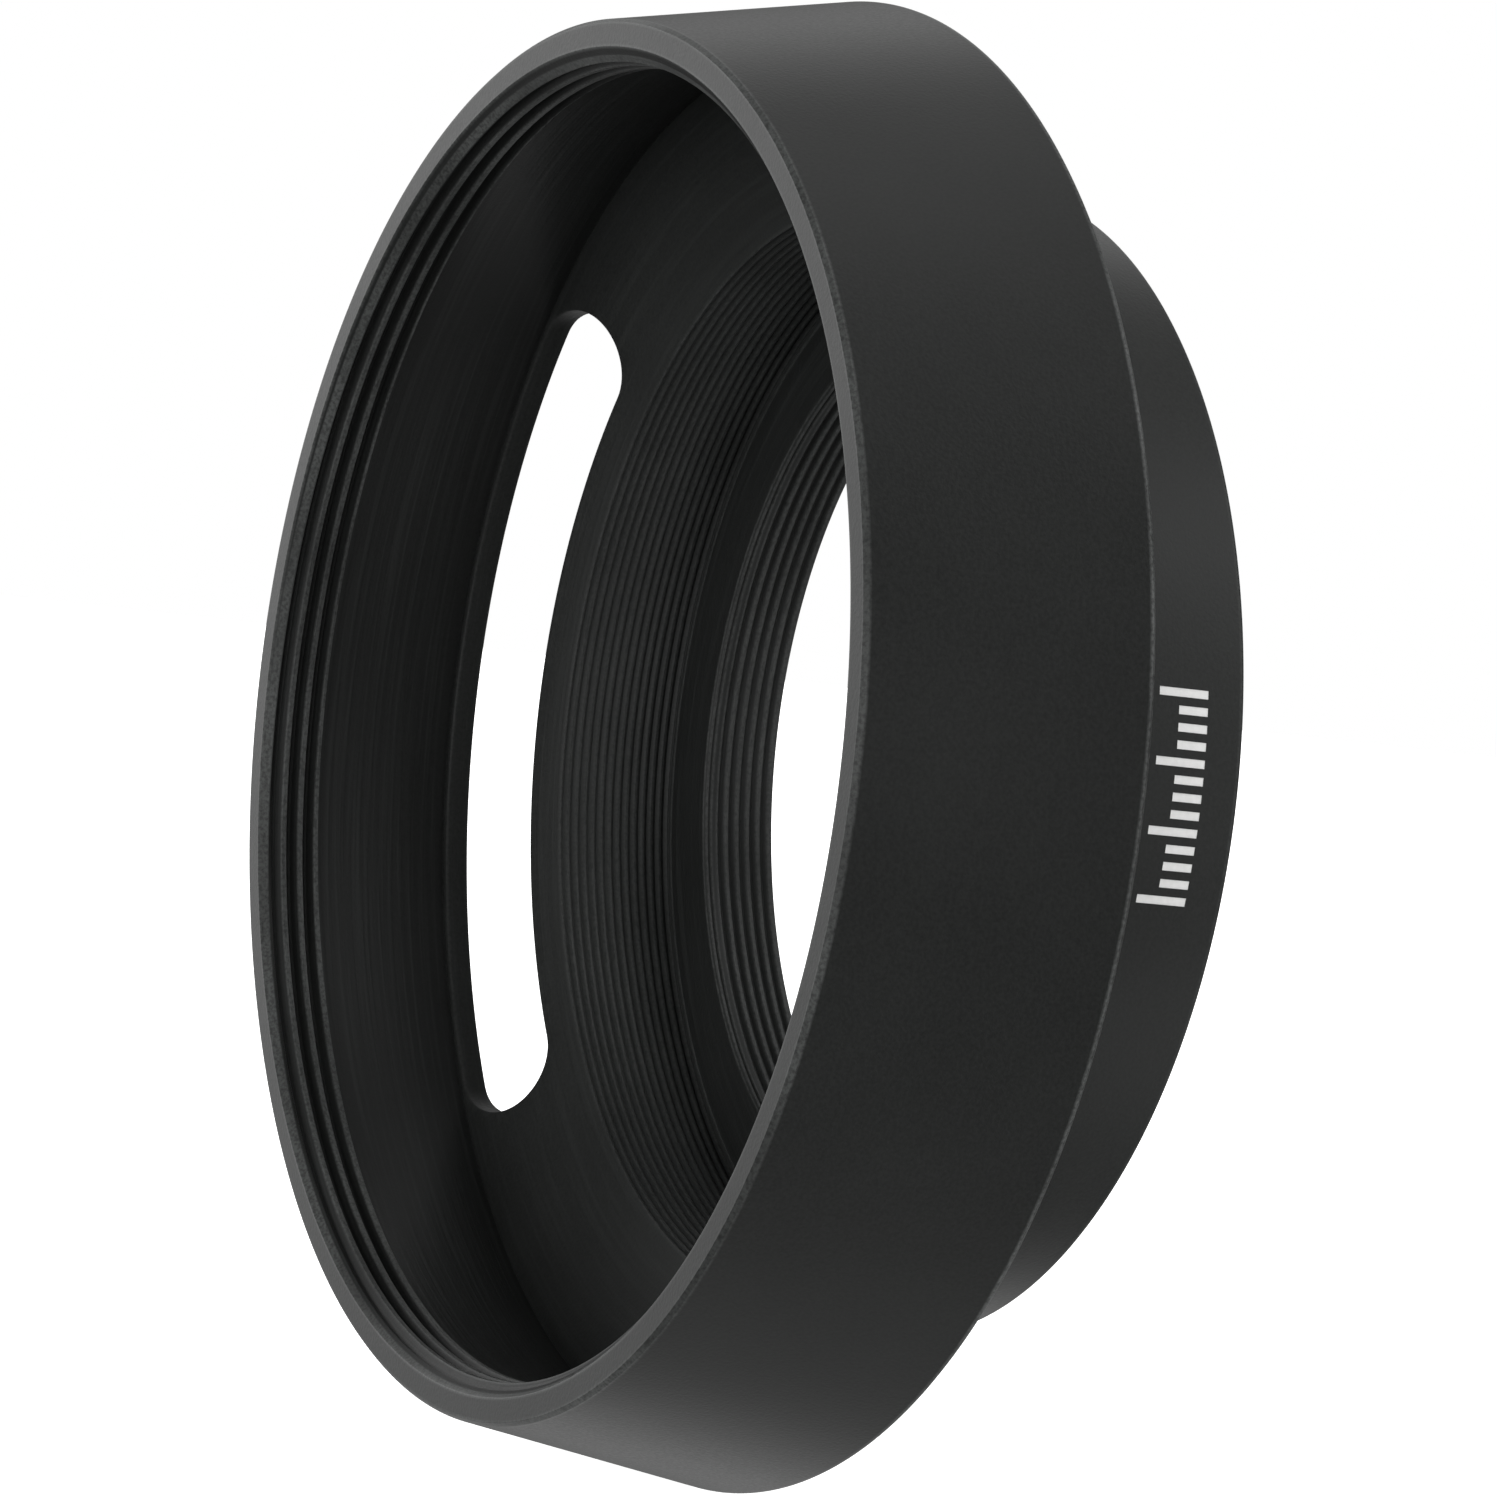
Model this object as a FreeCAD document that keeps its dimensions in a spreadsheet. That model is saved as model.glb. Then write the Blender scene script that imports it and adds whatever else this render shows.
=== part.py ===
import FreeCAD, Part
import os
import re

import Sketcher

# Vented screw-in lens hood for a lens with a 39 mm filter thread, in millimetres.
#
# Four pieces: a conical front barrel, a vented flange with its ribbed collar, a mount ring
# with the 39 mm thread, and the white paint in the collar's engraved index scale.
# The optical axis is Y and the open front faces -Y. The origin is the centre of the seat
# plane, which is the collar's rear face, where the hood stops against the lens. The index
# scale is on the +X side, half way between two vents.
#
# Each piece is drawn in its own frame: radii along X, distances behind its front along Y.

# The driving dimensions: lengths in mm, radii written r_, angles in degrees.
SIZES = {
    # front barrel
    "seat_depth": 18.40,        # front rim to the seat plane
    "barrel_length": 10.60,
    "r_rim": 27.30,             # outside, at the front rim
    "r_barrel_rear": 29.48,     # outside, at the rear edge
    "r_lip": 26.20,             # inner edge of the flat front lip
    "wall_start": 2.50,         # where the plain inner wall begins
    "r_wall_start": 26.06,
    "r_wall_end": 27.80,        # where the inner wall meets the flange
    "edge_break": 0.15,
    # front accessory thread, M52 x 0.75
    "r_cap_minor": 25.594,
    "r_cap_major": 26.00,
    "cap_pitch": 0.75,
    "cap_turns": 4.6,
    "cap_crest": 0.19,          # width of the land left between two turns
    "cap_root": 0.10,           # width of the groove's flat bottom
    # vented flange and collar
    "flange_depth": 9.42,       # front rim to the flange's front face
    "r_flange": 28.50,
    "flange_slope": 0.42,       # how far the cone goes back for each mm inwards
    "flange_wall": 0.86,
    "flange_rim": 0.72,
    "r_collar": 22.98,
    "r_collar_bore": 21.56,
    "r_pocket": 21.30,          # bore that takes the mount ring's flange
    "pocket_start": 17.20,      # front rim to that bore
    "pocket_floor": 17.80,
    "r_window": 19.96,          # hole in the collar's rear wall
    # vents
    "vent_count": 3,
    "r_vent_inner": 23.18,
    "r_vent_outer": 27.62,
    "vent_angle": 72.0,         # between the centres of a vent's two round ends
    # light-trap grooves in the collar
    "trap_start": 12.19,        # front rim to the first groove
    "trap_pitch": 0.40,
    "trap_count": 13,
    "trap_depth": 0.10,
    "trap_width": 0.30,
    # mount ring
    "ring_front": 17.20,        # front rim to the ring's front face
    "ring_length": 3.32,
    "r_ring_bore": 18.20,
    "bore_edge": 0.10,
    "lead_groove": 0.26,        # ring's front face to the shallow first groove
    "lead_depth": 0.08,
    "bore_start": 0.82,         # ring's front face to the first deep groove
    "bore_pitch": 0.51,
    "bore_count": 5,
    "bore_depth": 0.17,
    "bore_width": 0.36,
    "ring_flange": 0.60,
    "r_neck": 19.90,            # the stretch that passes through the collar's rear wall
    "r_relief": 19.10,
    "relief_end": 0.45,         # behind the seat plane
    "thread_end": 1.75,         # behind the seat plane
    "r_thread_nose": 18.86,
    # lens thread, M39 x 0.5
    "r_lens_major": 19.50,
    "r_lens_minor": 19.19,
    "lens_pitch": 0.50,
    "lens_turns": 4.4,
    "lens_crest": 0.08,
    "lens_root": 0.08,
    # engraved index scale
    "engraving_depth": 0.12,
    "fill_depth": 0.10,
    "tick_base": 16.80,         # front rim to the rear end of every tick
    "tick_length": 1.25,
    "long_tick_length": 2.10,
    "tick_width": 0.80,         # degrees round the collar
    "tick_pitch": 1.60,         # degrees
    "tick_count": 13,
    "long_tick_pitch": 6.40,    # degrees
    "long_tick_count": 4,
}


def size_sheet(doc):
    """The spreadsheet that holds every driving dimension under its own name."""
    sheet = doc.addObject("Spreadsheet::Sheet", "sizes")
    for row, (alias, value) in enumerate(SIZES.items(), start=1):
        sheet.set(f"A{row}", alias)
        sheet.set(f"B{row}", str(value))
        sheet.setAlias(f"B{row}", alias)
    doc.recompute()


def sized(text):
    """An expression written in the sheet's names, such as 'r_rim - edge_break'."""
    return re.sub(r"[a-z]+_\w+", lambda word: "sizes." + word.group(0), text)


def new_body(doc, label, front):
    """An empty body whose own frame starts at a distance behind the front rim."""
    body = doc.addObject("PartDesign::Body", label)
    body.Label = label
    body.setExpression("Placement.Base.y", sized(f"{front} - seat_depth"))
    return body


def origin_feature(body, role):
    """One of the body's own origin planes or axes."""
    return next(item for item in body.Origin.OriginFeatures if item.Role == role)


def new_sketch(body, name, role):
    """An empty sketch on one of the body's own origin planes."""
    sketch = body.newObject("Sketcher::SketchObject", name)
    sketch.AttachmentSupport = [(origin_feature(body, role), "")]
    sketch.MapMode = "FlatFace"
    return sketch


def tie(sketch, kind, geometry, point, text):
    """Holds one point at a signed distance from the sketch's origin."""
    index = sketch.addConstraint(Sketcher.Constraint(kind, -1, 1, geometry, point, 1.0))
    name = f"{kind}_{geometry}_{point}"
    sketch.renameConstraint(index, name)
    sketch.setExpression(f"Constraints.{name}", sized(text))


def outline(body, name, corners):
    """A closed outline of straight lines through corners given as (radius, distance)."""
    sketch = new_sketch(body, name, "XY_Plane")
    points = []
    for corner in corners:
        x, y = (float(sketch.evalExpression(sized(text))) for text in corner)
        points.append(FreeCAD.Vector(x, y, 0))
    following = points[1:] + points[:1]
    sketch.addGeometry([Part.LineSegment(a, b) for a, b in zip(points, following)], False)
    for i, (radius, distance) in enumerate(corners):
        joined = (i + 1) % len(corners)
        sketch.addConstraint(Sketcher.Constraint("Coincident", i, 2, joined, 1))
        tie(sketch, "DistanceX", i, 1, radius)
        tie(sketch, "DistanceY", i, 1, distance)
    return sketch


def solid_volume(body):
    """The body's volume so far, 0 while it is empty."""
    return 0.0 if body.Shape.isNull() else body.Shape.Volume


def expect_change(body, name, before, adds):
    """Stops if a feature added or cut nothing."""
    body.Document.recompute()
    change = solid_volume(body) - before
    if (change > 0) != adds or change == 0:
        raise RuntimeError(f"{name} changed the volume by {change:.4f} mm3")


def turn(body, name, corners, angle=360, adds=True, start="0"):
    """A revolution of an outline about the optical axis, added or cut.

    Less than a full turn is centred on the start angle, which is counted from the piece's
    X axis towards -Z.
    """
    before = solid_volume(body)
    sketch = outline(body, name + "_outline", corners)
    sketch.AttachmentOffset = FreeCAD.Placement(
        FreeCAD.Vector(0, 0, 0), FreeCAD.Rotation(FreeCAD.Vector(0, 1, 0), 1))
    sketch.setExpression("AttachmentOffset.Rotation.Angle", sized(f"({start}) * 1 deg"))
    feature = body.newObject("PartDesign::" + ("Revolution" if adds else "Groove"), name)
    feature.Profile = sketch
    feature.ReferenceAxis = (sketch, ["V_Axis"])
    feature.Midplane = True
    if angle == 360:
        feature.Angle = 360
    else:
        feature.setExpression("Angle", sized(angle))
    expect_change(body, name, before, adds)
    return feature


def cut_grooves(body, name, r_bore, first, pitch, count, depth, width):
    """A row of equal V grooves round a bore, their centres spaced along the axis."""
    before = solid_volume(body)
    groove = turn(body, name, [
        (f"{r_bore} - 0.1", f"{first} - {width} / 2"),
        (r_bore, f"{first} - {width} / 2"),
        (f"{r_bore} + {depth}", first),
        (r_bore, f"{first} + {width} / 2"),
        (f"{r_bore} - 0.1", f"{first} + {width} / 2"),
    ], adds=False)
    row = body.newObject("PartDesign::LinearPattern", name + "_row")
    row.Originals = [groove]
    row.Direction = (origin_feature(body, "Y_Axis"), [""])
    row.setExpression("Length", sized(f"{pitch} * ({count} - 1)"))
    row.setExpression("Occurrences", sized(count))
    body.Tip = row
    expect_change(body, name + "_row", before, adds=False)


def repeat_round(body, name, originals, count, spacing, adds):
    """Copies of some features, turned about the optical axis by equal steps."""
    before = solid_volume(body)
    pattern = body.newObject("PartDesign::PolarPattern", name)
    pattern.Originals = originals
    pattern.Axis = (origin_feature(body, "Y_Axis"), [""])
    pattern.Mode = "Spacing"
    pattern.setExpression("Offset", sized(spacing))
    pattern.setExpression("Occurrences", sized(count))
    body.Tip = pattern
    expect_change(body, name, before, adds)


def cut_thread(body, name, r_open, r_root, start, pitch, turns, crest, root):
    """A right-hand helical groove from r_open to r_root, centred at start on its first turn."""
    before = solid_volume(body)
    sketch = outline(body, name + "_section", [
        (r_open, f"{start} - {pitch} / 2 + {crest} / 2"),
        (r_open, f"{start} + {pitch} / 2 - {crest} / 2"),
        (r_root, f"{start} + {root} / 2"),
        (r_root, f"{start} - {root} / 2"),
    ])
    helix = body.newObject("PartDesign::SubtractiveHelix", name)
    helix.Profile = sketch
    helix.ReferenceAxis = (sketch, ["V_Axis"])
    helix.Mode = "pitch-turns-angle"
    helix.setExpression("Pitch", sized(pitch))
    helix.setExpression("Turns", sized(turns))
    expect_change(body, name, before, adds=False)


def front_barrel(doc):
    """The conical shell: flat lip, accessory thread, plain wall and rear counterbore."""
    body = new_body(doc, "front_barrel", "0")
    turn(body, "shell", [
        ("r_lip", "0"),
        ("r_rim - edge_break", "0"),
        ("r_rim", "edge_break"),
        ("r_barrel_rear", "barrel_length - edge_break"),
        ("r_barrel_rear - edge_break", "barrel_length"),
        ("r_flange", "barrel_length"),
        ("r_flange", "flange_depth"),
        ("r_wall_end", "flange_depth"),
        ("r_wall_start", "wall_start"),
        ("r_cap_minor", "wall_start"),
        ("r_cap_minor", "r_lip - r_cap_minor"),
    ])
    cut_thread(body, "cap_thread", "r_cap_minor", "r_cap_major", "-cap_pitch * 0.7",
               "cap_pitch", "cap_turns", "cap_crest", "cap_root")


def cut_vents(body):
    """Curved slots with round ends, cut through the flange parallel to the axis."""
    middle = "(r_vent_inner + r_vent_outer) / 2"
    reach = "(seat_depth - flange_depth) / 2"
    rail = turn(body, "vent", [
        ("-r_vent_inner", f"-{reach}"),
        ("-r_vent_outer", f"-{reach}"),
        ("-r_vent_outer", reach),
        ("-r_vent_inner", reach),
    ], "vent_angle", adds=False)
    before = solid_volume(body)
    sketch = new_sketch(body, "vent_ends_outline", "XZ_Plane")
    for index, side in enumerate(("", "-")):
        centre = (f"-{middle} * cos(vent_angle / 2 * 1 deg)",
                  f"{side}{middle} * sin(vent_angle / 2 * 1 deg)")
        x, y = (float(sketch.evalExpression(sized(text))) for text in centre)
        place = FreeCAD.Vector(x, y, 0)
        sketch.addGeometry(Part.Circle(place, FreeCAD.Vector(0, 0, 1), 1), False)
        tie(sketch, "DistanceX", index, 3, centre[0])
        tie(sketch, "DistanceY", index, 3, centre[1])
        radius = sketch.addConstraint(Sketcher.Constraint("Radius", index, 1.0))
        sketch.renameConstraint(radius, f"end_{index}")
        half_width = sized("(r_vent_outer - r_vent_inner) / 2")
        sketch.setExpression(f"Constraints.end_{index}", half_width)
    ends = body.newObject("PartDesign::Pocket", "vent_ends")
    ends.Profile = sketch
    ends.Midplane = True
    ends.setExpression("Length", sized("seat_depth - flange_depth"))
    expect_change(body, "vent_ends", before, adds=False)
    repeat_round(body, "vents", [rail, ends], "vent_count", "360 / vent_count", adds=False)


def index_scale(body, base, r_inner, r_outer, adds):
    """Short bars at every step of the scale, and long ones at every fourth.

    All of them end at the same distance, base, and the scale is centred on +X.
    """
    rows = (("tick", "tick_length", "tick_pitch", "tick_count"),
            ("long_tick", "long_tick_length", "long_tick_pitch", "long_tick_count"))
    for name, length, pitch, count in rows:
        bar = turn(body, name, [
            (r_inner, f"{base} - {length}"),
            (r_outer, f"{base} - {length}"),
            (r_outer, base),
            (r_inner, base),
        ], "tick_width", adds, start=f"-{pitch} * ({count} - 1) / 2")
        repeat_round(body, name + "s", [bar], count, pitch, adds)


def vented_collar(doc):
    """The flange with its vents, and the collar with its light trap and engraving."""
    body = new_body(doc, "vented_collar", "flange_depth")
    turn(body, "flange_and_collar", [
        ("r_wall_end", "0"),
        ("r_flange", "0"),
        ("r_flange", "flange_rim"),
        ("r_wall_end", "flange_rim + flange_slope * (r_flange - r_wall_end)"),
        ("r_collar", "flange_wall + flange_slope * (r_wall_end - r_collar)"),
        ("r_collar", "seat_depth - flange_depth - edge_break"),
        ("r_collar - edge_break", "seat_depth - flange_depth"),
        ("r_window", "seat_depth - flange_depth"),
        ("r_window", "pocket_floor - flange_depth"),
        ("r_pocket", "pocket_floor - flange_depth"),
        ("r_pocket", "pocket_start - flange_depth"),
        ("r_collar_bore", "pocket_start - flange_depth"),
        ("r_collar_bore", "flange_slope * (r_wall_end - r_collar_bore)"),
    ])
    cut_vents(body)
    cut_grooves(body, "light_trap", "r_collar_bore", "(trap_start - flange_depth)",
                "trap_pitch", "trap_count", "trap_depth", "trap_width")
    index_scale(body, "(tick_base - flange_depth)", "r_collar - engraving_depth",
                "r_collar + engraving_depth", adds=False)


def mount_ring(doc):
    """The flanged ring with a grooved bore inside and the lens thread outside."""
    body = new_body(doc, "mount_ring", "ring_front")
    seat = "(seat_depth - ring_front)"
    turn(body, "ring", [
        ("r_ring_bore + bore_edge", "0"),
        ("r_pocket", "0"),
        ("r_pocket", "ring_flange"),
        ("r_neck", "ring_flange"),
        ("r_neck", seat),
        ("r_relief", seat),
        ("r_relief", f"{seat} + relief_end"),
        ("r_lens_major", f"{seat} + relief_end"),
        ("r_lens_major", f"{seat} + thread_end"),
        ("r_thread_nose", "ring_length"),
        ("r_ring_bore + bore_edge", "ring_length"),
        ("r_ring_bore", "ring_length - bore_edge"),
        ("r_ring_bore", "lead_groove + lead_depth"),
        ("r_ring_bore + lead_depth", "lead_groove"),
        ("r_ring_bore", "lead_groove - lead_depth"),
        ("r_ring_bore", "bore_edge"),
    ])
    cut_grooves(body, "bore_grooves", "r_ring_bore", "bore_start",
                "bore_pitch", "bore_count", "bore_depth", "bore_width")
    cut_thread(body, "lens_thread", "r_lens_major", "r_lens_minor",
               f"{seat} + relief_end / 2", "lens_pitch", "lens_turns",
               "lens_crest", "lens_root")


def index_fill(doc):
    """The white paint that nearly fills the engraving, one separate solid to each gap."""
    body = new_body(doc, "index_fill", "0")
    body.AllowCompound = True
    index_scale(body, "tick_base", "r_collar - engraving_depth",
                "r_collar - engraving_depth + fill_depth", adds=True)


def check(doc):
    """Stops if any object failed or any piece has no valid solid."""
    for item in doc.Objects:
        if {"Invalid", "Error"} & set(item.State):
            raise RuntimeError(f"{item.Label} failed: {item.State}")
    for body in doc.findObjects("PartDesign::Body"):
        if body.Shape.isNull() or not body.Shape.isValid() or not body.Shape.Solids:
            raise RuntimeError(f"{body.Label} has no valid solid")


def main():
    doc = FreeCAD.newDocument("lens_hood")
    size_sheet(doc)
    front_barrel(doc)
    vented_collar(doc)
    mount_ring(doc)
    index_fill(doc)
    doc.recompute()
    check(doc)
    os.makedirs("parts", exist_ok=True)
    for body in doc.findObjects("PartDesign::Body"):
        body.Shape.exportStep(f"parts/{body.Label}.step")
        box = body.Shape.BoundBox
        print(body.Label, len(body.Shape.Solids), round(body.Shape.Volume, 2),
              [round(v, 3) for v in (box.XMin, box.XMax, box.YMin, box.YMax, box.ZMin, box.ZMax)])


main()
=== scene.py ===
import math

import bmesh
import bpy
import numpy as np
from mathutils import Matrix, Vector
from mathutils.geometry import delaunay_2d_cdt


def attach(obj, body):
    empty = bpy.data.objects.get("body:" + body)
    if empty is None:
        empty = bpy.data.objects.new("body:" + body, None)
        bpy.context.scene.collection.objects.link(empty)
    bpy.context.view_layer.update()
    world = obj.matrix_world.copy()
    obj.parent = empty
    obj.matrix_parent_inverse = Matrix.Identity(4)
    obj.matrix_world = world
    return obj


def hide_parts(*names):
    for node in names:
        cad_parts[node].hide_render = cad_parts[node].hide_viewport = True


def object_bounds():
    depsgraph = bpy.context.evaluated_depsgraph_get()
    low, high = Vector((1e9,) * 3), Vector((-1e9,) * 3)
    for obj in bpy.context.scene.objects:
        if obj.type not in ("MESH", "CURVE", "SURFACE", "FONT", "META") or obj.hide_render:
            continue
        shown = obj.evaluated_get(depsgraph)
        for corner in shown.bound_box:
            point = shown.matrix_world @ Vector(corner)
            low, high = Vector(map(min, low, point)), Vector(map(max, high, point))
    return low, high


# Looks for the vented lens hood. The visual rings are turned here with rounded edges and
# helical threads, in millimetres, as (radius, distance behind the front rim), and stand for
# the CAD rings of the same size. Angles are counted from +X towards -Z.

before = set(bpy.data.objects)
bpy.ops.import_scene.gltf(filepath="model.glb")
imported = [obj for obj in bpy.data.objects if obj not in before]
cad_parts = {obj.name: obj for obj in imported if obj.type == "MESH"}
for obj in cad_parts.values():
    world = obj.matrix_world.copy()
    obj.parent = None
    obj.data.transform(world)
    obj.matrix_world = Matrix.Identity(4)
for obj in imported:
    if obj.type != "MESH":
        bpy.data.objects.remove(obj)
CAD_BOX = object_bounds()

MM = 0.001
FRONT_RIM = CAD_BOX[0][1] / MM          # the front rim's place on the Y axis
COLUMNS = 450
COLUMN_STEP = 2 * math.pi / COLUMNS
# The columns fall on both edges of every tick of the index scale.
THETA = (np.arange(COLUMNS) + 0.5) * COLUMN_STEP
ARC_STEPS = 4
WEAR_HIGHLIGHT_FADE = 0.10
WELD = 3e-7                             # metres
CREASE = math.radians(35)

# Radii and distances that more than one surface shares.
R_LIP_BORE = 26.20
R_THREAD_ROOT = 26.00                   # the accessory thread's, and the wall's front end
R_WALL = 27.80                          # the barrel's inner wall, at its rear end
R_RIM = 28.50                           # the flange's rim, in the barrel's counterbore
R_COLLAR = 22.98
R_TRAP = 21.56                          # the collar's grooved bore
R_FLANGE_START = 21.75
R_POCKET = 21.30                        # the mount ring's flange, in its pocket
R_HOLE = 19.96                          # the hole in the collar's rear wall
R_RELIEF = 19.10                        # the relief before the lens thread
R_RING_BORE = 18.20
Y_THREAD_END = 2.50
Y_CONE_SPLIT = 5.35
Y_SHOULDER = 9.42                       # the counterbore's shoulder
Y_POCKET = 17.20
Y_POCKET_BACK = 17.80
Y_SEAT = 18.40                          # the collar's rear face
TICK_ROWS = (14.70, 15.55, 16.80)       # the front of long and short ticks, and their rear
TICK_DEPTH = 0.12

VENT_RADIUS = 25.40
VENT_HALF_WIDTH = 2.22
VENT_HALF_ANGLE = math.radians(36)
VENT_EDGE = 0.06
VENTS = [math.pi + math.radians(120) * k for k in range(3)]


class Shell:
    """Points, their finish and faces, gathered patch by patch and then welded.

    edge_wear_highlight is how rubbed the edges of the next patches are, from 0 to 1. It sets
    how much they are lightened as edge wear and as a painted highlight. turned is 1 where they
    show turning marks.
    """

    def __init__(self, edge_wear_highlight):
        self.points = []
        self.wear_highlight = []
        self.marks = []
        self.faces = []
        self.count = 0
        self.edge_wear_highlight = edge_wear_highlight
        self.turned = 0.0

    def add(self, x, y, z, wear_highlight, faces):
        """One patch of points, with faces that number its own points."""
        self.points.append(np.column_stack((x, y + FRONT_RIM, z)) * MM)
        self.wear_highlight.append(np.broadcast_to(wear_highlight, len(x)) * self.edge_wear_highlight)
        self.marks.append(np.full(len(x), self.turned))
        self.faces += [[self.count + i for i in face] for face in faces]
        self.count += len(x)

    def add_rows(self, r, y, wear_highlight, shift=0, skip=()):
        """Rings of points joined by quads.

        After one turn a row meets the row that is shift further on, as in a thread.
        skip holds the (row, column) cells that are left open.
        """
        shape = (max(np.shape(r)[0], np.shape(y)[0]), COLUMNS)
        r, y, wear_highlight = (np.broadcast_to(v, shape) for v in (r, y, wear_highlight))
        faces = []
        for i in range(shape[0] - 1 - shift):
            for j in range(COLUMNS):
                if (i, j) in skip:
                    continue
                ahead = i + shift if j == COLUMNS - 1 else i
                k = (j + 1) % COLUMNS
                faces.append((i * COLUMNS + j, (i + 1) * COLUMNS + j,
                              (ahead + 1) * COLUMNS + k, ahead * COLUMNS + k))
        self.add((r * np.cos(THETA)).ravel(), y.ravel(), (-r * np.sin(THETA)).ravel(),
                 wear_highlight.ravel(), faces)

    def build(self, name):
        """The welded mesh as an object that rides on the frame."""
        mesh = bpy.data.meshes.new(name)
        mesh.from_pydata(np.concatenate(self.points), [], self.faces)
        for label, values in (("wear_highlight", self.wear_highlight), ("turned", self.marks)):
            attribute = mesh.attributes.new(label, "FLOAT", "POINT")
            attribute.data.foreach_set("value", np.concatenate(values).astype(np.float32))
        welded = bmesh.new()
        welded.from_mesh(mesh)
        bmesh.ops.remove_doubles(welded, verts=welded.verts, dist=WELD)
        bmesh.ops.recalc_face_normals(welded, faces=welded.faces)
        welded.to_mesh(mesh)
        welded.free()
        mesh.shade_smooth()
        mesh.set_sharp_from_angle(angle=CREASE)
        piece = bpy.data.objects.new(name, mesh)
        bpy.context.scene.collection.objects.link(piece)
        piece.modifiers.new("weighted_normals", "WEIGHTED_NORMAL").keep_sharp = True
        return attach(piece, "root")


def soften(corners):
    """Rounds the corners of an open outline drawn with the metal on its left.

    Each corner is (radius, distance, fillet). Gives rows of radius, distance and
    wear_highlight.
    Outside corners are rubbed and lightened as wear and as a painted highlight, which fades
    out beside them.
    """
    flat = np.array([corner[:2] for corner in corners], float)
    rows = [(*flat[0], 0.0)]
    for before, here, after, (_, _, fillet) in zip(flat, flat[1:], flat[2:], corners[1:]):
        if not fillet:
            rows.append((*here, 0.0))
            continue
        length = np.hypot(*(before - here)), np.hypot(*(after - here))
        a, b = (before - here) / length[0], (after - here) / length[1]
        half = math.acos(a @ b) / 2
        reach = fillet / math.tan(half)
        if 2 * reach > min(length):
            raise ValueError(f"the fillet at {here} is too large")
        middle = here + (a + b) / np.hypot(*(a + b)) * fillet / math.sin(half)
        first, last = here + a * reach - middle, here + b * reach - middle
        turn = math.pi - 2 * half
        wear_highlight = 1.0 if a[1] * b[0] > a[0] * b[1] else 0.0
        if length[0] / 2 > reach + WEAR_HIGHLIGHT_FADE:
            rows.append((*(here + a * (reach + WEAR_HIGHLIGHT_FADE)), 0.0))
        for t in np.linspace(0, 1, ARC_STEPS + 1):
            arm = math.sin((1 - t) * turn) * first + math.sin(t * turn) * last
            rows.append((*(middle + arm / math.sin(turn)), wear_highlight))
        if length[1] / 2 > reach + WEAR_HIGHLIGHT_FADE:
            rows.append((*(here + b * (reach + WEAR_HIGHLIGHT_FADE)), 0.0))
    rows.append((*flat[-1], 0.0))
    return np.array(rows)


def add_outline(shell, corners):
    """The surface turned by an open outline."""
    r, y, wear_highlight = soften(corners).T[:, :, None]
    shell.add_rows(r, y, wear_highlight)


def grooves(r_bore, first, pitch, count, depth, width, edge):
    """Corners of a row of V grooves in a bore, from the rearmost to the first."""
    corners = []
    for k in reversed(range(count)):
        middle = first + pitch * k
        corners += [(r_bore, middle + width / 2, edge),
                    (r_bore + depth, middle, edge * 0.5),
                    (r_bore, middle - width / 2, edge)]
    return corners


def add_thread(shell, r_open, r_root, start, pitch, crest, root, edge, y_min, y_max, envelope):
    """A right-hand thread between two distances, cut off by an envelope radius.

    Gives the radius round its first and its last edge.
    """
    inside = r_root > r_open
    lap = [(r_open, (crest - pitch) / 2, edge), (r_root, -root / 2, edge),
           (r_root, root / 2, edge), (r_open, (pitch - crest) / 2, edge)]
    lap = [(r_open, lap[3][1] - pitch, 0)] + lap + [(r_open, lap[0][1] + pitch, 0)]
    section = soften(lap[::-1])[::-1][1:-1] if inside else soften(lap)[1:-1]
    first = math.floor((y_min - start) / pitch) - 2
    laps = np.arange(math.ceil((y_max - y_min) / pitch) + 5) + first
    y = start + (laps[:, None] * pitch + section[:, 1]).reshape(-1, 1)
    y = np.clip(y + THETA * pitch / (2 * math.pi), y_min, y_max)
    offset = y - start - THETA * pitch / (2 * math.pi)
    r = np.interp(offset, section[:, 1], section[:, 0], period=pitch)
    wear_highlight = np.interp(offset, section[:, 1], section[:, 2], period=pitch)
    r = (np.maximum if inside else np.minimum)(r, envelope(y))
    shell.add_rows(r, y, wear_highlight, shift=len(section))
    return r[0], r[-1]


def add_step(shell, y, r_edge, r_ring):
    """The flat between a thread's uneven edge and a plain ring at the same distance."""
    shell.add_rows(np.array([r_edge, np.full(COLUMNS, r_ring)]), np.array([[y], [y]]), 0.0)


def on_cone(r):
    """The flange's front face: its distance behind the front rim at a radius."""
    return Y_SHOULDER + 0.42 * (R_WALL - r)


def on_back(r):
    """The flange's rear face, which is slightly flatter."""
    at_collar, at_wall = 12.304, 10.434
    return at_collar - (r - R_COLLAR) * (at_collar - at_wall) / (R_WALL - R_COLLAR)


def vent_outline(turned, grow):
    """A vent's outline as x and z, grown outwards, turned about the axis."""
    half_width = VENT_HALF_WIDTH + grow
    side = np.linspace(-VENT_HALF_ANGLE, VENT_HALF_ANGLE, 121)
    cap = np.linspace(0, math.pi, 33)[1:-1]
    far = VENT_RADIUS * np.exp(1j * VENT_HALF_ANGLE)
    points = np.concatenate((
        (VENT_RADIUS + half_width) * np.exp(1j * side),
        far + half_width * np.exp(1j * (cap + VENT_HALF_ANGLE)),
        (VENT_RADIUS - half_width) * np.exp(1j * side[::-1]),
        far.conjugate() + half_width * np.exp(1j * (cap + math.pi - VENT_HALF_ANGLE))))
    points = points * np.exp(1j * turned)
    return points.real, points.imag


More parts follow.
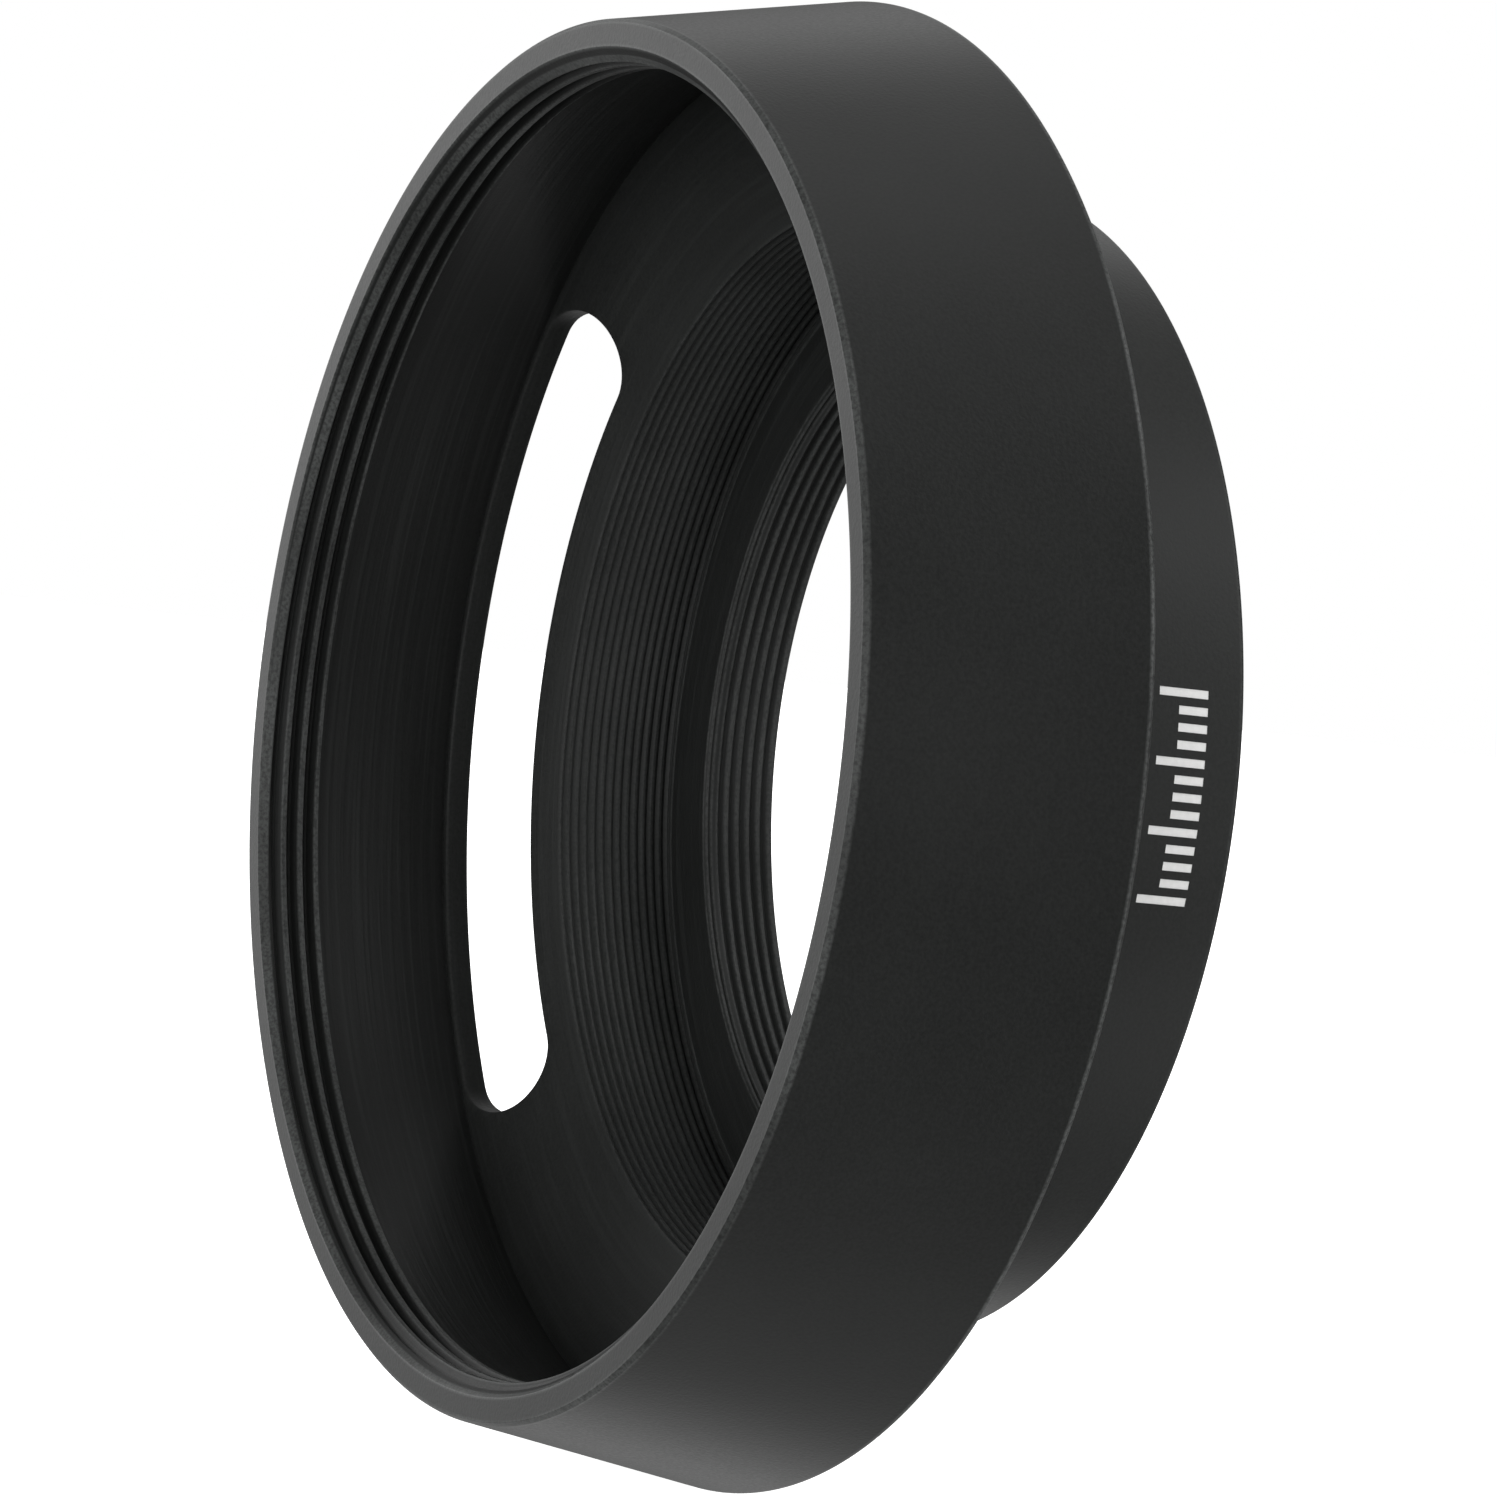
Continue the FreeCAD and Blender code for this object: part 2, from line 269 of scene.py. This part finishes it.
def in_vent(points):
    """Which points, given as x + iz, lie in a vent with its rounded edges."""
    slack = 3e-3
    inside = np.zeros(len(points), bool)
    for turned in VENTS:
        local = points * np.exp(-1j * turned)
        angle = np.clip(np.angle(local), -VENT_HALF_ANGLE, VENT_HALF_ANGLE)
        gap = np.abs(local - VENT_RADIUS * np.exp(1j * angle))
        inside |= gap < VENT_HALF_WIDTH + VENT_EDGE - slack
    return inside


def add_flange_face(shell, surface, r_inner, r_outer):
    """One conical face between two rings of columns, with the three vents left open."""
    loops = [r * np.exp(-1j * THETA) for r in (r_outer, r_inner)]
    loops += [np.array(vent_outline(turned, VENT_EDGE)).T @ (1, 1j) for turned in VENTS]
    ring_gap, vent_gap = 0.7, 0.3
    rings = np.arange(r_inner + 0.6, r_outer - 0.4, ring_gap)
    inner = (rings[:, None] * np.exp(-1j * THETA[::2])).ravel()
    clear = ~in_vent(inner)
    for vent in loops[2:]:
        clear &= np.abs(inner[:, None] - vent[None, :]).min(1) > vent_gap
    flat = np.concatenate(loops + [inner[clear]])
    edges, start = [], 0
    for loop in loops:
        size = len(loop)
        edges += [(start + i, start + (i + 1) % size) for i in range(size)]
        start += size
    result = delaunay_2d_cdt([(p.real, p.imag) for p in flat], edges, [], 0, 1e-6)
    flat = np.array([complex(*p) for p in result[0]])
    middle = np.array([flat[list(face)].mean() for face in result[2]])
    r_chord = r_inner * math.cos(COLUMN_STEP / 2) - 1e-4
    kept = (np.abs(middle) > r_chord) & ~in_vent(middle)
    faces = [face for face, keep in zip(result[2], kept) if keep]
    shell.add(flat.real, surface(np.abs(flat)), flat.imag, 0.0, faces)


def vent_edge(turned, surface, inwards):
    """The rounded edge of a vent on one face of the flange, from the face inwards."""
    arc = []
    for step in range(ARC_STEPS + 1):
        bend = math.pi / 2 * step / ARC_STEPS
        x, z = vent_outline(turned, VENT_EDGE * (1 - math.sin(bend)))
        y = surface(np.hypot(x, z)) + inwards * VENT_EDGE * (1 - math.cos(bend))
        # The rounded edge is lightened as wear and as a painted highlight. The fade beyond it
        # is not.
        arc.append((x, y, z, 1.0 if step else 0.6))
    arc.append((x, y + inwards * WEAR_HIGHLIGHT_FADE, z, 0.0))
    return arc


def add_vent_walls(shell):
    """The walls of the vents, with rounded edges on both faces of the flange."""
    for turned in VENTS:
        rings = vent_edge(turned, on_cone, 1) + vent_edge(turned, on_back, -1)[::-1]
        size = len(rings[0][0])
        faces = [(i * size + j, (i + 1) * size + j, (i + 1) * size + (j + 1) % size,
                  i * size + (j + 1) % size)
                 for i in range(len(rings) - 1) for j in range(size)]
        x, y, z = (np.concatenate([ring[k] for ring in rings]) for k in range(3))
        wear_highlight = np.concatenate([np.full(size, ring[3]) for ring in rings])
        shell.add(x, y, z, wear_highlight, faces)


def front_barrel():
    """The conical barrel, with its flat lip and the accessory thread inside."""
    pitch, y_start = 0.75, -0.525
    r_crest, crest, root = 25.594, 0.19, 0.10
    shell = Shell(edge_wear_highlight=0.6)
    add_outline(shell, [
        (26.10, 0.10, 0), (R_LIP_BORE, 0, 0.05), (27.15, 0, 0.03), (27.30, 0.15, 0.08),
        (28.40, Y_CONE_SPLIT, 0)])
    shell.edge_wear_highlight = 1.0
    add_outline(shell, [
        (28.40, Y_CONE_SPLIT, 0), (29.48, 10.45, 0.10), (29.33, 10.60, 0.08),
        (R_RIM, 10.60, 0.05), (R_RIM, Y_SHOULDER, 0)])
    shell.edge_wear_highlight = 0.15
    shell.turned = 1.0
    add_outline(shell, [
        (R_RIM, Y_SHOULDER, 0), (R_WALL, Y_SHOULDER, 0.03), (26.06, Y_THREAD_END, 0.02),
        (R_THREAD_ROOT, Y_THREAD_END, 0)])
    shell.edge_wear_highlight = 0.6
    _, rear = add_thread(shell, r_crest, R_THREAD_ROOT, y_start, pitch, crest, root, 0.04,
                         0.10, Y_THREAD_END, lambda y: R_LIP_BORE - y)
    add_step(shell, Y_THREAD_END, rear, R_THREAD_ROOT)
    return shell.build("barrel")


def add_tick(shell, column, rows):
    """An engraved tick one column wide: its walls and floor."""
    angles = THETA[[column, (column + 1) % COLUMNS]]
    points = [(r * math.cos(t), y, -r * math.sin(t))
              for y in rows for t in angles for r in (R_COLLAR, R_COLLAR - TICK_DEPTH)]
    last = 4 * (len(rows) - 1)
    faces = [(0, 2, 3, 1), (last, last + 1, last + 3, last + 2)]
    for i in range(0, last, 4):
        faces += [(i + a, i + b, i + 4 + b, i + 4 + a) for a, b in ((0, 1), (1, 3), (3, 2))]
    shell.add(*np.array(points).T, 0.0, faces)


def add_scale(shell):
    """The collar's cylinder from the flange to the end of the ticks, and the ticks in it."""
    ticks = {(2 * k - 1) % COLUMNS: TICK_ROWS if k % 4 == 2 else TICK_ROWS[1:]
             for k in range(-6, 7)}
    cells = {(4 - len(rows) + i, column) for column, rows in ticks.items()
             for i in range(len(rows) - 1)}
    y = np.array([on_back(R_COLLAR), *TICK_ROWS])[:, None]
    shell.add_rows(np.full_like(y, R_COLLAR), y, 0.0, skip=cells)
    for column, rows in ticks.items():
        add_tick(shell, column, rows)


def vented_collar():
    """The vented flange, the grooved collar behind it and the engraved index scale."""
    shell = Shell(edge_wear_highlight=0.3)
    add_outline(shell, [
        (R_WALL, Y_SHOULDER, 0), (R_RIM, Y_SHOULDER, 0), (R_RIM, 10.14, 0.05),
        (R_WALL, on_back(R_WALL), 0)])
    add_scale(shell)
    add_outline(shell, [
        (R_COLLAR, TICK_ROWS[-1], 0), (R_COLLAR, 18.25, 0.08), (22.83, Y_SEAT, 0.08),
        (R_HOLE, Y_SEAT, 0.05), (R_HOLE, Y_POCKET_BACK, 0)])
    add_flange_face(shell, on_back, R_COLLAR, R_WALL)
    shell.edge_wear_highlight = 0.2
    shell.turned = 1.0
    light_trap = grooves(R_TRAP, 12.19, 0.40, 13, 0.10, 0.30, 0.03)
    # The first groove starts where the cone ends.
    add_outline(shell, [
        (R_HOLE, Y_POCKET_BACK, 0), (R_POCKET, Y_POCKET_BACK, 0), (R_POCKET, Y_POCKET, 0.02),
        (R_TRAP, Y_POCKET, 0.02), *light_trap[:-1], (R_TRAP, on_cone(R_TRAP), 0.04),
        (R_FLANGE_START, on_cone(R_FLANGE_START), 0)])
    add_flange_face(shell, on_cone, R_FLANGE_START, R_WALL)
    shell.edge_wear_highlight = 0.1
    add_vent_walls(shell)
    return shell.build("collar")


def mount_ring():
    """The ring with a grooved bore inside and the lens thread outside."""
    pitch, y_first = 0.50, 18.625
    r_crest, r_root, crest, root = 19.50, 19.19, 0.08, 0.08
    start, nose, end = 18.85, 20.33, 20.52
    r_neck = 19.90
    nose_slope, nose_start = 0.64 / 0.37, 20.15
    shell = Shell(edge_wear_highlight=0.35)
    shell.turned = 1.0
    add_outline(shell, [
        (18.25, 17.25, 0), (18.30, Y_POCKET, 0.04), (R_POCKET, Y_POCKET, 0.03),
        (R_POCKET, Y_POCKET_BACK, 0), (r_neck, Y_POCKET_BACK, 0), (r_neck, Y_SEAT, 0.05),
        (R_RELIEF, Y_SEAT, 0), (R_RELIEF, start, 0)])
    front, rear = add_thread(shell, r_crest, r_root, y_first, pitch, crest, root, 0.03,
                             start, nose, lambda y: r_crest - (y - nose_start) * nose_slope)
    add_step(shell, start, front, R_RELIEF)
    add_outline(shell, [
        (rear[0], nose, 0), (18.86, end, 0.05), (18.30, end, 0.04), (R_RING_BORE, 20.42, 0.04),
        *grooves(R_RING_BORE, 18.02, 0.51, 5, 0.17, 0.36, 0.03),
        *grooves(R_RING_BORE, 17.46, 0.51, 1, 0.08, 0.16, 0.02),
        (R_RING_BORE, 17.30, 0.02), (18.25, 17.25, 0)])
    return shell.build("ring")


BUMP_HEIGHT = 0.00003                   # metres
GRAIN_SCALE = 7000
LATHE_SCALE = 4200
CLOUD_SCALE = 120
SPECK_SCALE = 420
PAINT_SCALE = 5000
ALONG_RING = 0.02                       # how much slower turning marks vary along a ring
BLACK = (0.0148, 0.0156, 0.0151)
MARK_COLOUR = (0.032, 0.034, 0.033, 1)
WORN_HIGHLIGHT_COLOUR = (0.10, 0.104, 0.102, 1)
DUST_COLOUR = (0.12, 0.12, 0.115, 1)
WHITE = (1, 1, 1, 1)


class Nodes:
    """Short calls for building a material's or the world's node tree."""

    def __init__(self, tree):
        self.tree = tree

    def add(self, kind, **values):
        """A node with some of its own settings."""
        made = self.tree.nodes.new("ShaderNode" + kind)
        for key, value in values.items():
            setattr(made, key, value)
        return made

    def put(self, value, socket):
        """Links an output to an input, or sets the input to a plain value."""
        if isinstance(value, bpy.types.NodeSocket):
            self.tree.links.new(value, socket)
        else:
            socket.default_value = value

    def feed(self, node, **inputs):
        """Fills a node's inputs by name, with _ for a space."""
        for key, value in inputs.items():
            self.put(value, node.inputs[key.replace("_", " ")])
        return node

    def math(self, operation, *values):
        """The result of a Math node."""
        return self.combine("Math", operation, *values).outputs[0]

    def combine(self, kind, operation, *values):
        """A node that works on its inputs in order."""
        made = self.add(kind, operation=operation)
        for value, socket in zip(values, made.inputs):
            self.put(value, socket)
        return made

    def spread(self, value, low, high, to_low=0.0, to_high=1.0):
        """A value stretched from one range to another."""
        made = self.feed(self.add("MapRange"), Value=value, From_Min=low, From_Max=high,
                         To_Min=to_low, To_Max=to_high)
        return made.outputs[0]

    def noise(self, vector, scale, detail=3):
        """The value of a noise texture."""
        made = self.feed(self.add("TexNoise"), Vector=vector, Scale=scale, Detail=detail)
        return made.outputs["Fac"]

    def blend(self, factor, a, b):
        """A mix of two colours."""
        made = self.add("Mix", data_type="RGBA")
        return self.feed(made, Factor=factor, A=a, B=b).outputs["Result"]

    def bump(self, height, strength, normal=None):
        """A normal bent by a height of up to BUMP_HEIGHT."""
        made = self.feed(self.add("Bump"), Height=height, Strength=strength,
                         Distance=BUMP_HEIGHT)
        if normal is not None:
            self.feed(made, Normal=normal)
        return made.outputs["Normal"]


def shader_of(mat):
    """A new material's node helper and its shader."""
    mat.use_nodes = True
    return Nodes(mat.node_tree), mat.node_tree.nodes["Principled BSDF"]


def turning_marks(nodes, place):
    """Noise drawn out into fine rings round the axis, which vary slowly along their length."""
    x, y, z = nodes.feed(nodes.add("SeparateXYZ"), Vector=place).outputs
    square = nodes.math("ADD", nodes.math("MULTIPLY", x, x), nodes.math("MULTIPLY", z, z))
    radius = nodes.math("SQRT", square)
    lathe = nodes.feed(nodes.add("CombineXYZ"), X=radius, Y=y,
                       Z=nodes.math("MULTIPLY", x, ALONG_RING))
    rings = nodes.add("TexNoise", noise_dimensions="4D")
    nodes.feed(rings, Vector=lathe.outputs[0], W=nodes.math("MULTIPLY", z, ALONG_RING),
               Scale=LATHE_SCALE, Detail=2)
    return rings.outputs["Fac"]


def dust_specks(nodes, place):
    """1 on a few specks of dust."""
    cells = nodes.feed(nodes.add("TexVoronoi"), Vector=place, Scale=SPECK_SCALE)
    lot = nodes.feed(nodes.add("SeparateColor"), Color=cells.outputs["Color"]).outputs[0]
    return nodes.math("MULTIPLY", nodes.spread(cells.outputs["Distance"], 0.03, 0.02),
                      nodes.spread(lot, 0.985, 0.986))


def black_anodising(name, painted_light_tone, turned_painted_light_tone):
    """Satin black anodised aluminium: fine grain, turning marks, dust, and rubbed edges that
    are lightened as wear and as a painted highlight.

    painted_light_tone scales its colour as painted light, and turned_painted_light_tone does
    so where the surface is left as turned, as painted light and shade.
    """
    mat = bpy.data.materials.new(name)
    nodes, shader = shader_of(mat)
    place = nodes.add("TexCoord").outputs["Object"]
    turned = nodes.add("Attribute", attribute_name="turned").outputs["Fac"]
    worn_highlight = nodes.add("Attribute", attribute_name="wear_highlight").outputs["Fac"]
    grain = nodes.noise(place, GRAIN_SCALE)
    cloud = nodes.noise(place, CLOUD_SCALE, 4)
    rings = turning_marks(nodes, place)

    mottle = nodes.math("ADD", nodes.spread(grain, 0.3, 0.7, 0, 0.6),
                        nodes.spread(cloud, 0.3, 0.7, 0, 0.4))
    # level is grain and mottle, times the painted light tones, which lift or darken whole
    # pieces and their turned surfaces.
    level = nodes.math("MULTIPLY", nodes.spread(mottle, 0, 1, 0.75, 1.25),
                       nodes.spread(turned, 0, 1, painted_light_tone, turned_painted_light_tone))
    marks = nodes.math("MULTIPLY", nodes.spread(rings, 0.50, 0.68), turned)
    patchy = nodes.math("MULTIPLY", nodes.spread(grain, 0.35, 0.60, 0.4, 1),
                        nodes.spread(cloud, 0.35, 0.60, 0.5, 1))
    colour = nodes.feed(nodes.add("VectorMath", operation="SCALE"), Vector=BLACK, Scale=level)
    colour = nodes.blend(nodes.math("MULTIPLY", marks, 0.25), colour.outputs[0], MARK_COLOUR)
    # Rubbed edges: lighter as wear, and as a painted highlight along them.
    colour = nodes.blend(nodes.math("MULTIPLY", worn_highlight, patchy), colour, WORN_HIGHLIGHT_COLOUR)
    colour = nodes.blend(dust_specks(nodes, place), colour, DUST_COLOUR)
    rough = nodes.math("ADD", nodes.spread(grain, 0.3, 0.7, 0.28, 0.36),
                       nodes.math("MULTIPLY", turned, 0.13))
    bent = nodes.bump(grain, 0.25)
    bent = nodes.bump(rings, nodes.math("MULTIPLY", turned, 0.9), bent)
    nodes.feed(shader, Base_Color=colour, Roughness=rough, Normal=bent, IOR=1.45,
               Specular_IOR_Level=0.13)
    return mat


def white_paint():
    """Engraving paint: matt white, slightly uneven."""
    mat = bpy.data.materials.new("white_fill")
    nodes, shader = shader_of(mat)
    place = nodes.add("TexCoord").outputs["Object"]
    grain = nodes.noise(place, PAINT_SCALE)
    nodes.feed(shader, Roughness=0.55, Normal=nodes.bump(grain, 0.4),
               Base_Color=nodes.blend(grain, (0.72, 0.72, 0.71, 1), (0.86, 0.86, 0.85, 1)))
    return mat


CAMERA_PLACE = Vector((0.2134, -0.1183, 0.0037))
CAMERA_AIM = Vector((0, -0.0086, -0.00025))
CAMERA_ROLL = math.radians(6.34)
CAMERA_LENS = 146


def add_camera():
    """The camera at the photographer's angle, a little tilted about its own axis."""
    data = bpy.data.cameras.new("camera")
    data.sensor_width = 36.0
    data.lens = CAMERA_LENS
    data.clip_start = 0.01
    data.clip_end = 20.0
    camera = bpy.data.objects.new("camera", data)
    bpy.context.scene.collection.objects.link(camera)
    level = (CAMERA_AIM - CAMERA_PLACE).to_track_quat("-Z", "Y").to_matrix().to_4x4()
    tilt = Matrix.Rotation(CAMERA_ROLL, 4, "Z")
    camera.matrix_world = Matrix.Translation(CAMERA_PLACE) @ level @ tilt
    bpy.context.scene.camera = camera


def add_floor(level):
    """A plain white light table under the hood, which the lamps' light passes through."""
    reach = 6.0
    corners = [(-reach, -reach, level), (reach, -reach, level), (reach, reach, level),
               (-reach, reach, level)]
    mesh = bpy.data.meshes.new("floor")
    mesh.from_pydata(corners, [], [(0, 1, 2, 3)])
    floor = bpy.data.objects.new("floor", mesh)
    bpy.context.scene.collection.objects.link(floor)
    floor.visible_diffuse = False
    floor.visible_glossy = False
    floor.visible_shadow = False
    mat = bpy.data.materials.new("floor_white")
    nodes, shader = shader_of(mat)
    nodes.feed(shader, Base_Color=(0.8, 0.8, 0.8, 1), Roughness=0.9, Emission_Color=WHITE,
               Emission_Strength=1.0)
    mesh.materials.append(mat)


# The studio's soft lamps: the turn from +X towards +Y and the height in degrees, and the
# strength.
LAMPS = (
    (270, 0, 3.5),      # into the mouth
    (300, 0, 1.5),
    (330, 0, 3.0),      # beside the camera, to its left
    (30, 0, 1.5),       # on the outside, to the camera's right
    (45, 40, 3.5),
    (45, -40, 2.0),
    (135, 40, 1.0),     # from behind
    (135, -40, 1.0),
    (180, 40, 1.0),     # through the vents
    (180, -40, 1.0),
    (210, 10, 3.5),     # along the front lip
    (0, 90, 2.5),       # overhead
    (0, -90, 1.5),      # up through the table
)
LAMP_FOCUS = 14                         # the power of the cosine that a lamp fades with


def lamp_direction(turn, height):
    """The direction towards a lamp."""
    turn = math.radians(turn)
    height = math.radians(height)
    return (math.cos(height) * math.cos(turn), math.cos(height) * math.sin(turn),
            math.sin(height))


def add_world():
    """White to the camera, and the soft lamps to the hood."""
    world = bpy.data.worlds.new("world")
    world.use_nodes = True
    nodes = Nodes(world.node_tree)
    direction = nodes.add("TexCoord").outputs["Generated"]
    total = 0.0
    for turn, height, strength in LAMPS:
        facing = nodes.combine("VectorMath", "DOT_PRODUCT", direction,
                               lamp_direction(turn, height))
        facing = nodes.math("MAXIMUM", facing.outputs["Value"], 0)
        lamp = nodes.math("MULTIPLY", nodes.math("POWER", facing, LAMP_FOCUS), strength)
        total = nodes.math("ADD", total, lamp)
    path = nodes.add("LightPath")
    seen = nodes.add("Mix", data_type="FLOAT")
    nodes.feed(seen, Factor=path.outputs["Is Camera Ray"], A=total, B=1.0)
    nodes.feed(world.node_tree.nodes["Background"], Color=WHITE,
               Strength=seen.outputs["Result"])
    bpy.context.scene.world = world


def finish_piece(piece, node, mat):
    """Gives a piece its material, and hides the CAD node that it stands for."""
    piece.data.materials.append(mat)
    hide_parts(node)


# Painted light and shade in the tones: the collar is lifted 1.3 times for the light it
# catches. The barrel's inner wall and thread are darkened to 0.7 as painted shade inside the
# hood. The collar's turned surfaces get 1.15 and the ring's 0.8.
finish_piece(front_barrel(), "front_barrel",
             black_anodising("barrel_black_painted_light", 1.0, 0.7))
finish_piece(vented_collar(), "vented_collar",
             black_anodising("collar_black_painted_light", 1.3, 1.15))
finish_piece(mount_ring(), "mount_ring",
             black_anodising("ring_black_painted_light", 1.0, 0.8))
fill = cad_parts["index_fill"].data
fill.materials.clear()
fill.materials.append(white_paint())

add_camera()
add_floor(CAD_BOX[0][2])
add_world()
bpy.context.scene.view_settings.view_transform = "Standard"
